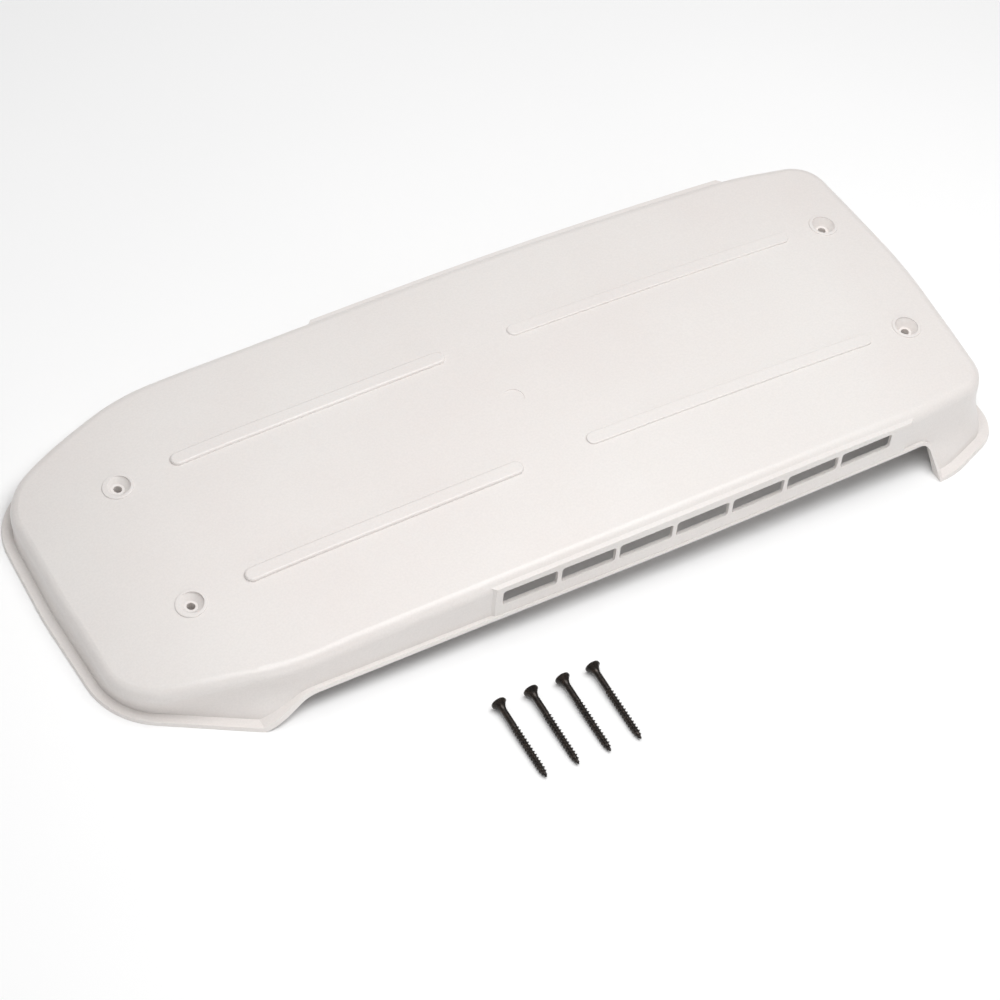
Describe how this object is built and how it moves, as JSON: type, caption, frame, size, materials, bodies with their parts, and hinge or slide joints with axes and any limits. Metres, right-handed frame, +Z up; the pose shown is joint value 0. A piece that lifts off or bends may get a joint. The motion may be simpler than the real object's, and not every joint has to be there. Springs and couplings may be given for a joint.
{
  "type": "roof vent cover",
  "caption": "Wedge-shaped moulded cap with turned-out rim, raised louvred sides and four sunk screw wells, with its loose bugle-head screws, for covering a roof vent.",
  "frame": {"origin": "centre of the four screw holes, in the plane where the screw bosses end, 27 mm above the rim", "axes": "+X along the cap from the low nose to the tall tail, +Y across it, +Z up, square to the plane of the rim"},
  "size_m": [0.687, 0.3945, 0.0655],
  "materials": {
    "cover_plastic": "warm white moulded plastic, satin with a fine eggshell grain",
    "screw_steel": "steel with a dark phosphate finish"
  },
  "bodies": {
    "cap": {"cover": "cover_plastic"},
    "loose_screw_1": {"screw_1": "screw_steel"},
    "loose_screw_2": {"screw_2": "screw_steel"},
    "loose_screw_3": {"screw_3": "screw_steel"},
    "loose_screw_4": {"screw_4": "screw_steel"}
  },
  "joints": [
    {"name": "screw_1_lift", "type": "slide", "parent": "cap", "child": "loose_screw_1", "axis": [0, 0, 1], "range_m": [0, 0.15]},
    {"name": "screw_2_lift", "type": "slide", "parent": "cap", "child": "loose_screw_2", "axis": [0, 0, 1], "range_m": [0, 0.15]},
    {"name": "screw_3_lift", "type": "slide", "parent": "cap", "child": "loose_screw_3", "axis": [0, 0, 1], "range_m": [0, 0.15]},
    {"name": "screw_4_lift", "type": "slide", "parent": "cap", "child": "loose_screw_4", "axis": [0, 0, 1], "range_m": [0, 0.15]}
  ]
}
